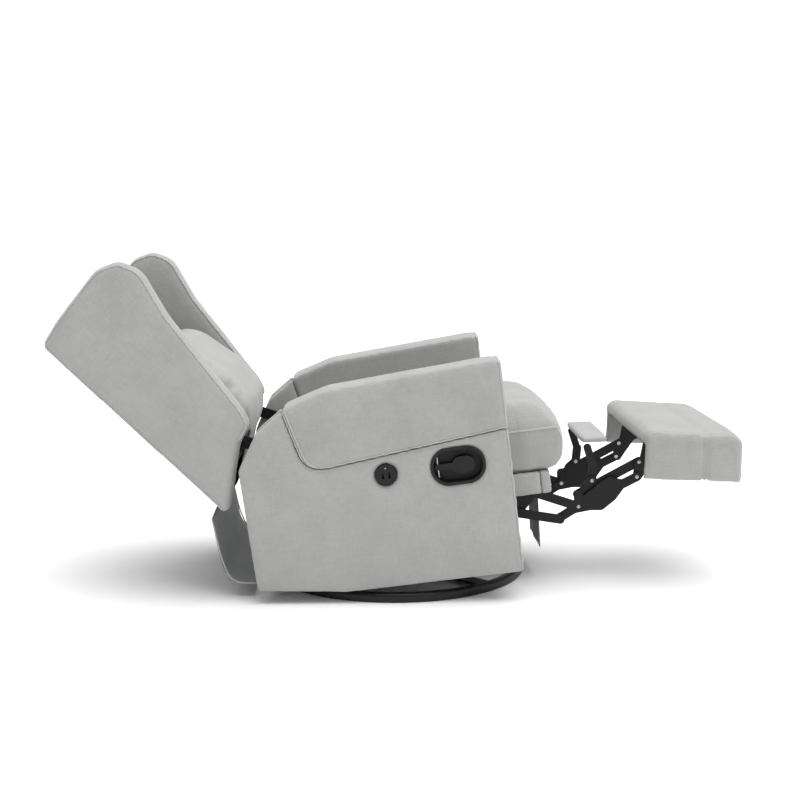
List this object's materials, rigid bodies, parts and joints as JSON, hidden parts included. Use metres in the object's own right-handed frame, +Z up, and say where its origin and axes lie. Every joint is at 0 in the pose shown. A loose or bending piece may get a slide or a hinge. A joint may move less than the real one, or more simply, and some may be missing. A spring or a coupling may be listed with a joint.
{
  "type": "glider nursery chair",
  "caption": "Upholstered swivel glider recliner chair with wing back, sloped padded arms, fold-out footrest and a black ring base.",
  "frame": {"origin": "on the floor, under the middle of the whole chair at rest", "axes": "-Y is the way the sitter faces, +Z is up, +X is the sitter's left"},
  "size_m": [0.713, 1.7372, 0.8437],
  "materials": {
    "upholstery": "light grey woven polyester, linen look",
    "lining_cloth": "thin dark grey lining cloth",
    "frame_wood": "plain sawn plywood and softwood",
    "steel_black": "satin black powder coat",
    "base_paint": "semi-gloss black paint",
    "bare_steel": "zinc plated steel",
    "black_plastic": "fine textured black plastic"
  },
  "bodies": {
    "base": {"base_ring": "base_paint", "base_spokes": "base_paint", "hub_plate": "steel_black", "bearing_lower_race": "bare_steel"},
    "turntable": {"bearing_upper_race": "bare_steel", "turntable_plate": "steel_black", "glide_uprights": "steel_black", "glide_cross_bars": "steel_black", "glide_pivot_pins": "bare_steel"},
    "glide_front": {"glide_links_front": "steel_black"},
    "glide_rear": {"glide_links_rear": "steel_black"},
    "seat_body": {"carriage_plates": "steel_black", "carriage_pivot_pins": "bare_steel", "carriage_cross_tubes": "steel_black", "arm_frame_left": "frame_wood", "arm_frame_right": "frame_wood", "side_panel_left": "upholstery", "side_panel_right": "upholstery", "arm_pad_left": "upholstery", "arm_pad_right": "upholstery", "arm_lining_left": "upholstery", "arm_lining_right": "upholstery", "rear_apron": "lining_cloth", "lever_cup": "black_plastic", "lever_pin": "bare_steel", "charging_port": "black_plastic", "arm_hinge_plates": "steel_black", "back_pivot_pins": "bare_steel", "seat_runners": "steel_black"},
    "lever": {"release_lever": "black_plastic"},
    "seat": {"seat_front_rail": "upholstery", "seat_rails": "upholstery", "seat_springs": "bare_steel", "seat_cushion": "upholstery", "leg_side_plates": "steel_black", "leg_side_pins": "bare_steel", "front_flap": "lining_cloth"},
    "leg_rear": {"leg_rear_links": "steel_black", "knee_pins": "bare_steel"},
    "leg_low": {"leg_low_links": "steel_black"},
    "leg_front": {"leg_front_links": "steel_black", "foot_low_pins": "bare_steel"},
    "footrest": {"footrest_cover": "upholstery", "footrest_board": "lining_cloth", "footrest_brackets": "steel_black", "foot_top_pins": "bare_steel"},
    "leg_upper": {"leg_upper_links": "steel_black", "flipper_pins": "bare_steel"},
    "flipper": {"flipper_arms": "steel_black", "flipper_board": "upholstery"},
    "back": {"wing_left": "upholstery", "wing_right": "upholstery", "outer_back": "upholstery", "back_frame": "frame_wood", "back_cushion": "upholstery", "head_cushion": "upholstery", "back_lining": "lining_cloth", "back_hinge_plates": "steel_black"}
  },
  "joints": [
    {"name": "swivel", "type": "hinge", "parent": "base", "child": "turntable", "pos_m": [0, 0.008, 0], "axis": [0, 0, 1], "continuous": true},
    {"name": "glide", "type": "hinge", "parent": "turntable", "child": "glide_front", "pos_m": [0, -0.1229, 0.2167], "axis": [-1, 0, 0], "range_deg": [0, 27]},
    {"name": "glide_rear_link", "type": "hinge", "parent": "turntable", "child": "glide_rear", "pos_m": [0, 0.1748, 0.1832], "axis": [-1, 0, 0], "range_deg": [0, 35]},
    {"name": "glide_body", "type": "hinge", "parent": "glide_front", "child": "seat_body", "pos_m": [0, -0.09915, 0.10929], "axis": [-1, 0, 0], "range_deg": [-40, 0]},
    {"name": "recline", "type": "hinge", "parent": "seat_body", "child": "back", "pos_m": [0, 0.40795, 0.40003], "axis": [1, 0, 0], "range_deg": [0, 26]},
    {"name": "seat_slide", "type": "slide", "parent": "seat_body", "child": "seat", "axis": [0, -0.9921, 0.1253], "range_m": [-0.055, 0]},
    {"name": "footrest_fold", "type": "hinge", "parent": "seat", "child": "leg_rear", "pos_m": [0, -0.34298, 0.24089], "axis": [1, 0, 0], "range_deg": [0, 102.6]},
    {"name": "leg_low_turn", "type": "hinge", "parent": "seat", "child": "leg_low", "pos_m": [0, -0.29839, 0.18688], "axis": [1, 0, 0], "range_deg": [0, 100.5]},
    {"name": "knee", "type": "hinge", "parent": "leg_rear", "child": "leg_front", "pos_m": [0, -0.47089, 0.19859], "axis": [1, 0, 0], "range_deg": [-146, 0]},
    {"name": "footrest_turn", "type": "hinge", "parent": "leg_front", "child": "footrest", "pos_m": [0, -0.62434, 0.27643], "axis": [1, 0, 0], "range_deg": [0, 123.5]},
    {"name": "leg_upper_turn", "type": "hinge", "parent": "footrest", "child": "leg_upper", "pos_m": [0, -0.63049, 0.31551], "axis": [1, 0, 0], "range_deg": [-120, 0]},
    {"name": "flipper_turn", "type": "hinge", "parent": "leg_upper", "child": "flipper", "pos_m": [0, -0.50789, 0.26475], "axis": [1, 0, 0], "range_deg": [0, 135]},
    {"name": "lever_pull", "type": "hinge", "parent": "seat_body", "child": "lever", "pos_m": [-0.3445, -0.08817, 0.34376], "axis": [0, -0.1253, -0.9921], "range_deg": [0, 22], "stiffness_Nm_per_rad": 0.5}
  ],
  "couplings": [
    {"joint": "glide_rear_link", "follows": "glide", "ratio": 1.152},
    {"joint": "glide_body", "follows": "glide", "ratio": -1.288},
    {"joint": "seat_slide", "follows": "recline", "m_per_rad": -0.11018},
    {"joint": "leg_low_turn", "follows": "footrest_fold", "ratio": 0.97076},
    {"joint": "knee", "follows": "footrest_fold", "ratio": -1.4123},
    {"joint": "footrest_turn", "follows": "footrest_fold", "ratio": 1.192},
    {"joint": "leg_upper_turn", "follows": "footrest_fold", "ratio": -1.156},
    {"joint": "flipper_turn", "follows": "footrest_fold", "ratio": 1.3021}
  ]
}
